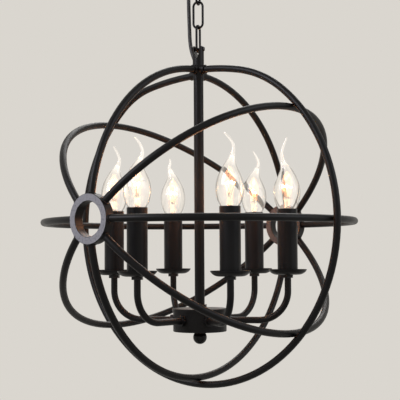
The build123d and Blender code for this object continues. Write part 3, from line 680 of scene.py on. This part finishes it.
# Cap: a thread rolled in thin metal, then a black insulator and the contact under it.
CAP_SIDES = 40
CAP_STEPS = 90
CAP_RADIUS = 6.75
CAP_FOOT = -31.0
CAP_HEIGHT = 20.0
CAP_ROLLED_EDGE_MM = ((5.4, -31.9), (6.0, -31.6))
THREAD_PITCH = 2.82            # of a small lamp cap
THREAD_DEPTH = 0.4 * MM        # either way of the middle
THREAD_FOOT = -30.5
THREAD_TOP = -12.5
THREAD_FADE = 2.0              # over which it fades at each end
INSULATOR_PROFILE_MM = ((2.6, -34.0), (3.2, -33.8), (4.6, -32.6), (5.4, -31.9), (5.4, -31.0))
CONTACT_PROFILE_MM = ((0.5, -35.2), (1.6, -35.1), (2.4, -34.6), (2.7, -34.0), (2.7, -33.4))
CONTACT_SIDES = 32


def thread(height, turn):
    """The rolled thread's depth, which fades out at both ends."""
    under_top = max(0.0, min(1.0, (THREAD_TOP - height / MM) / THREAD_FADE))
    over_foot = max(0.0, min(1.0, (height / MM - THREAD_FOOT) / THREAD_FADE))
    wave = 1 + math.cos(2 * math.pi * height / MM / THREAD_PITCH - turn)
    return -THREAD_DEPTH * (under_top * over_foot) * wave


def roll_cap(number, foot):
    """The screw cap: a rolled thread, a black insulator and a soldered contact."""
    shell = list(CAP_ROLLED_EDGE_MM)
    shell += [(CAP_RADIUS, CAP_FOOT + CAP_HEIGHT * k / CAP_STEPS) for k in range(CAP_STEPS + 1)]
    for name, profile, sides, ripple, material in (
        ("screw_cap", shell, CAP_SIDES, thread, lamp_cap_metal),
        ("cap_insulator", INSULATOR_PROFILE_MM, CAP_SIDES, None, black_plastic),
        ("cap_contact", CONTACT_PROFILE_MM, CONTACT_SIDES, None, lamp_cap_metal),
    ):
        piece = mesh_piece(f"{name}_{number}", spun_vertices(profile, sides, foot, ripple),
                           skin_faces(len(profile), sides), material,
                           f"bulb_{number}")
        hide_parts(f"bulb_cap_{number}")


# Stem: a glass tube with a flared foot, pressed flat at its top round the wires.
STEM_PROFILE_MM = (
    (6.2, -9.0), (5.6, -7.0), (3.4, -3.0), (2.6, 2.0), (2.4, 8.0),
    (2.9, 11.0), (3.0, 14.0), (1.6, 16.0), (0.3, 16.6),
)
STEM_SIDES = 24
PINCH_FOOT = 5 * MM
PINCH_HEIGHT = 6 * MM
PINCH_DEPTH = 1.3 * MM


def draw_stem(number, foot, angle):
    """The glass stem inside the bulb."""
    def pinch(height, turn):
        flat = max(0.0, min(1.0, (height - PINCH_FOOT) / PINCH_HEIGHT))
        return PINCH_DEPTH * flat * math.cos(2 * (turn - angle))

    mesh_piece(f"glass_stem_{number}", spun_vertices(STEM_PROFILE_MM, STEM_SIDES, foot, pinch),
               skin_faces(len(STEM_PROFILE_MM), STEM_SIDES), stem_glass,
               f"bulb_{number}")


def coil_line(hooks):
    """The filament's own helix, strung in a zigzag from hook to hook."""
    points = []
    for a, b in zip(hooks, hooks[1:]):
        axis = (b - a).normalized()
        side = axis.orthogonal().normalized()
        other = axis.cross(side)
        for k in range(COIL_STEPS):
            wind = 2 * math.pi * k / COIL_WIND_STEPS
            sag = Vector((0, 0, -COIL_SAG)) * math.sin(math.pi * k / COIL_STEPS)
            around = (side * math.cos(wind) + other * math.sin(wind)) * COIL_RADIUS
            points.append(a.lerp(b, k / COIL_STEPS) + sag + around)
    return points


# Supports: the two that lead the current in are thicker, and spread wider at the stem's top.
WIRE_ROOT = 13.5 * MM
WIRE_KNEE = 1.5 * MM
WIRE_SIDES = 6
LEAD_IN_SHARE = 0.25
LEAD_IN_RADIUS = 0.3 * MM
SUPPORT_SHARE = 0.08
SUPPORT_RADIUS = 0.16 * MM


def string_filament(number, foot, angle):
    """The glowing coil, and the wires that carry it from the stem's top."""
    middle = Vector((0, 0, COIL_HEIGHT))
    spin = Matrix.Rotation(angle + COIL_TURN, 4, "Z")
    hooks = [foot + middle + spin @ (Vector(hook) * COIL_REACH) for hook in COIL_HOOKS]
    points = coil_line(hooks)
    mesh_piece(f"filament_{number}", tube_vertices(points, lambda i: FILAMENT_RADIUS, WIRE_SIDES),
               skin_faces(len(points), WIRE_SIDES), filament_wire, f"bulb_{number}")
    vertices = []
    faces = []
    for hook in hooks:
        leads_in = hook in (hooks[0], hooks[-1])
        share = LEAD_IN_SHARE if leads_in else SUPPORT_SHARE
        thick = LEAD_IN_RADIUS if leads_in else SUPPORT_RADIUS
        root = foot + Vector((0, 0, WIRE_ROOT)) + (hook - foot - middle) * share
        knee = root.lerp(hook, 0.5) + Vector((0, 0, WIRE_KNEE))
        line = [root, root.lerp(knee, 0.5), knee, knee.lerp(hook, 0.5), hook]
        start = len(vertices)
        vertices += tube_vertices(line, lambda i: thick, WIRE_SIDES)
        faces += [tuple(start + v for v in face) for face in skin_faces(len(line), WIRE_SIDES)]
    mesh_piece(f"support_wires_{number}", vertices, faces, lead_in_wire,
               f"bulb_{number}")


for number, angle in enumerate(ARM_ANGLES, start=1):
    foot = Vector((ARM_CIRCLE * math.cos(angle), ARM_CIRCLE * math.sin(angle), SLEEVE_TOP))
    warm_glow(number, foot, blow_glass(number, foot))
    roll_cap(number, foot)
    draw_stem(number, foot, angle)
    string_filament(number, foot, angle)

# ---------------------------------------------------------------- floor, walls and lights
FLOOR_SIZE = 60.0
FLOOR_HEIGHT = -2.5
HEX_FLOOR = "#e2dfda"
HEX_WALL = "#dad6cf"


def looking(tree):
    """1 where the camera sees something straight, in a gloss or through glass, and 0 for its light."""
    path = add_node(tree, "LightPath")
    seen = add_node(tree, "Math", {
        0: path.outputs["Is Camera Ray"], 1: path.outputs["Is Transmission Ray"],
    }, operation="MAXIMUM")
    either = add_node(tree, "Math", {
        0: seen.outputs[0], 1: path.outputs["Is Glossy Ray"],
    }, operation="MAXIMUM")
    return either.outputs[0]


def pale_paint(name, hex_colour, hex_shown):
    """Pale matt paint that takes shadows; its far parts show the wall's own colour."""
    material, tree = new_material(name)
    place = add_node(tree, "TexCoord").outputs["Object"]
    far = add_node(tree, "VectorMath", {0: place}, operation="LENGTH")
    fade = add_node(tree, "MapRange", {
        "Value": far.outputs["Value"], "From Min": 0.8, "From Max": 4.5, "To Min": 0.5,
    }, interpolation_type="SMOOTHSTEP")
    shows = add_node(tree, "Math", {0: fade.outputs[0], 1: looking(tree)}, operation="MULTIPLY")
    mottle = add_node(tree, "TexNoise", {"Vector": place, "Scale": 3.0, "Detail": 3.0})
    tone = add_node(tree, "Mix", {
        "Factor": mottle.outputs["Fac"], "A": to_linear(hex_colour), "B": to_linear(hex_shown),
    }, data_type="RGBA")
    paint = add_node(tree, "BsdfPrincipled", {"Base Color": tone.outputs["Result"], "Roughness": 0.85})
    wall = add_node(tree, "Emission", {"Color": to_linear(hex_shown), "Strength": 1.0})
    both = add_node(tree, "MixShader", {0: shows.outputs[0], 1: paint.outputs[0], 2: wall.outputs[0]})
    finish_material(tree, both.outputs[0])
    return material


bpy.ops.mesh.primitive_plane_add(size=FLOOR_SIZE, location=(0, 0, FLOOR_HEIGHT))
floor = bpy.context.object
floor.name = "studio_floor"
floor.data.materials.append(pale_paint("pale_studio_floor", HEX_FLOOR, HEX_WALL))

world = bpy.data.worlds.new("studio")
scene.world = world
world.use_nodes = True
sky = world.node_tree
sky.nodes.clear()
plain = add_node(sky, "Background", {"Color": to_linear("#c9c4bc"), "Strength": 0.4})
shown = add_node(sky, "Background", {"Color": to_linear(HEX_WALL), "Strength": 1.0})
mixed = add_node(sky, "MixShader", {0: looking(sky), 1: plain.outputs[0], 2: shown.outputs[0]})
add_node(sky, "OutputWorld", {"Surface": mixed.outputs[0]})


def soft_light(name, azimuth, elevation, distance, size, watts, hex_colour):
    """A large square light that looks at the cage from this direction, counted as the camera's is."""
    data = bpy.data.lights.new(name, "AREA")
    data.size = size
    data.energy = watts
    data.color = to_linear(hex_colour)[:3]
    light = bpy.data.objects.new(name, data)
    scene.collection.objects.link(light)
    flat = math.cos(math.radians(elevation))
    turn = math.radians(azimuth)
    away = Vector((math.sin(turn) * flat, -math.cos(turn) * flat, math.sin(math.radians(elevation))))
    light.location = Vector((0, 0, ORB_Z)) + away * distance
    light.rotation_euler = away.to_track_quat("Z", "Y").to_euler()
    light.visible_camera = False
    light.visible_transmission = False    # clear glass shows the wall behind it, not the lamp


soft_light("key", -20, 30, 2.2, 1.3, 36, "#f4f3ff")
soft_light("fill", 105, 25, 2.4, 1.6, 18, "#eef3ff")
soft_light("back", 210, 40, 2.4, 1.4, 18, "#ffffff")
scene.view_settings.view_transform = "Standard"
